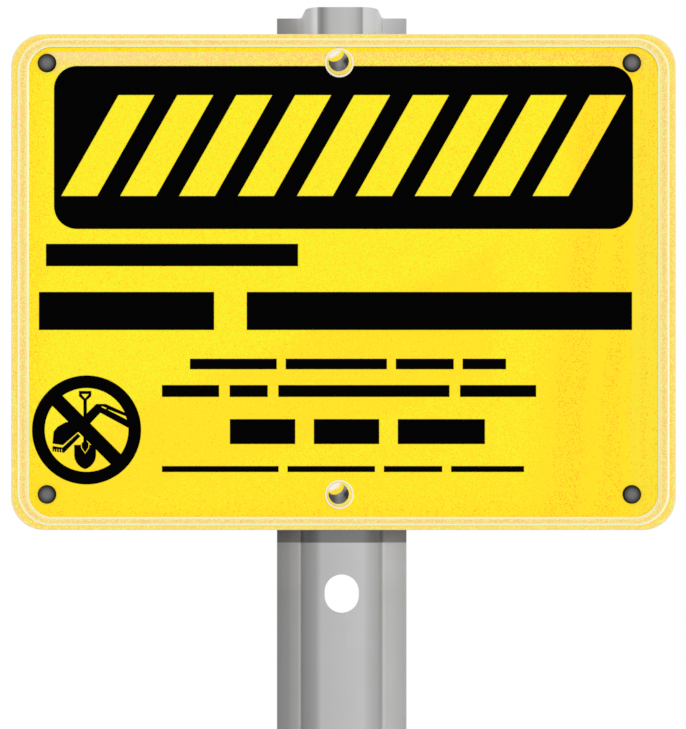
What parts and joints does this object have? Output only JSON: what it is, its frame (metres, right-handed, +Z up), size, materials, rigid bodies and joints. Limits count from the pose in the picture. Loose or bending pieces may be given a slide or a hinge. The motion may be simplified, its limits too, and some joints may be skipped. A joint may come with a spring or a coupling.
{
  "type": "utility marker post",
  "caption": "Steel channel post with a yellow plastic warning sign bolted to its web, for marking a buried utility line.",
  "frame": {"origin": "centre of the post's foot, midway across its section's width and depth", "axes": "+Z up the post, -Y out of the sign's face, +X to the right as the sign is read"},
  "size_m": [0.4064, 0.0442, 1.524],
  "materials": {
    "galvanised_steel": "hot-dip galvanised, dull even grey",
    "sign_plastic": "glossy yellow moulded plastic",
    "black_print": "smooth black ink film",
    "bright_plated_steel": "bright plated",
    "white_nylon": "satin white nylon",
    "zinc_plated_steel": "zinc plated",
    "dark_plastic": "satin dark grey plastic"
  },
  "bodies": {
    "root": {"post": "galvanised_steel", "sign_panel": "sign_plastic", "header_field": "black_print", "print_line_1": "black_print", "print_line_2": "black_print", "print_line_3": "black_print", "print_line_4": "black_print", "print_line_5": "black_print", "print_line_6": "black_print", "no_dig_symbol": "black_print", "face_washer_upper": "white_nylon", "flat_washer_upper": "zinc_plated_steel", "lock_washer_upper": "zinc_plated_steel", "nut_upper": "zinc_plated_steel", "face_washer_lower": "white_nylon", "flat_washer_lower": "zinc_plated_steel", "lock_washer_lower": "zinc_plated_steel", "nut_lower": "zinc_plated_steel", "bolts": "bright_plated_steel", "plugs": "dark_plastic"}
  },
  "joints": []
}
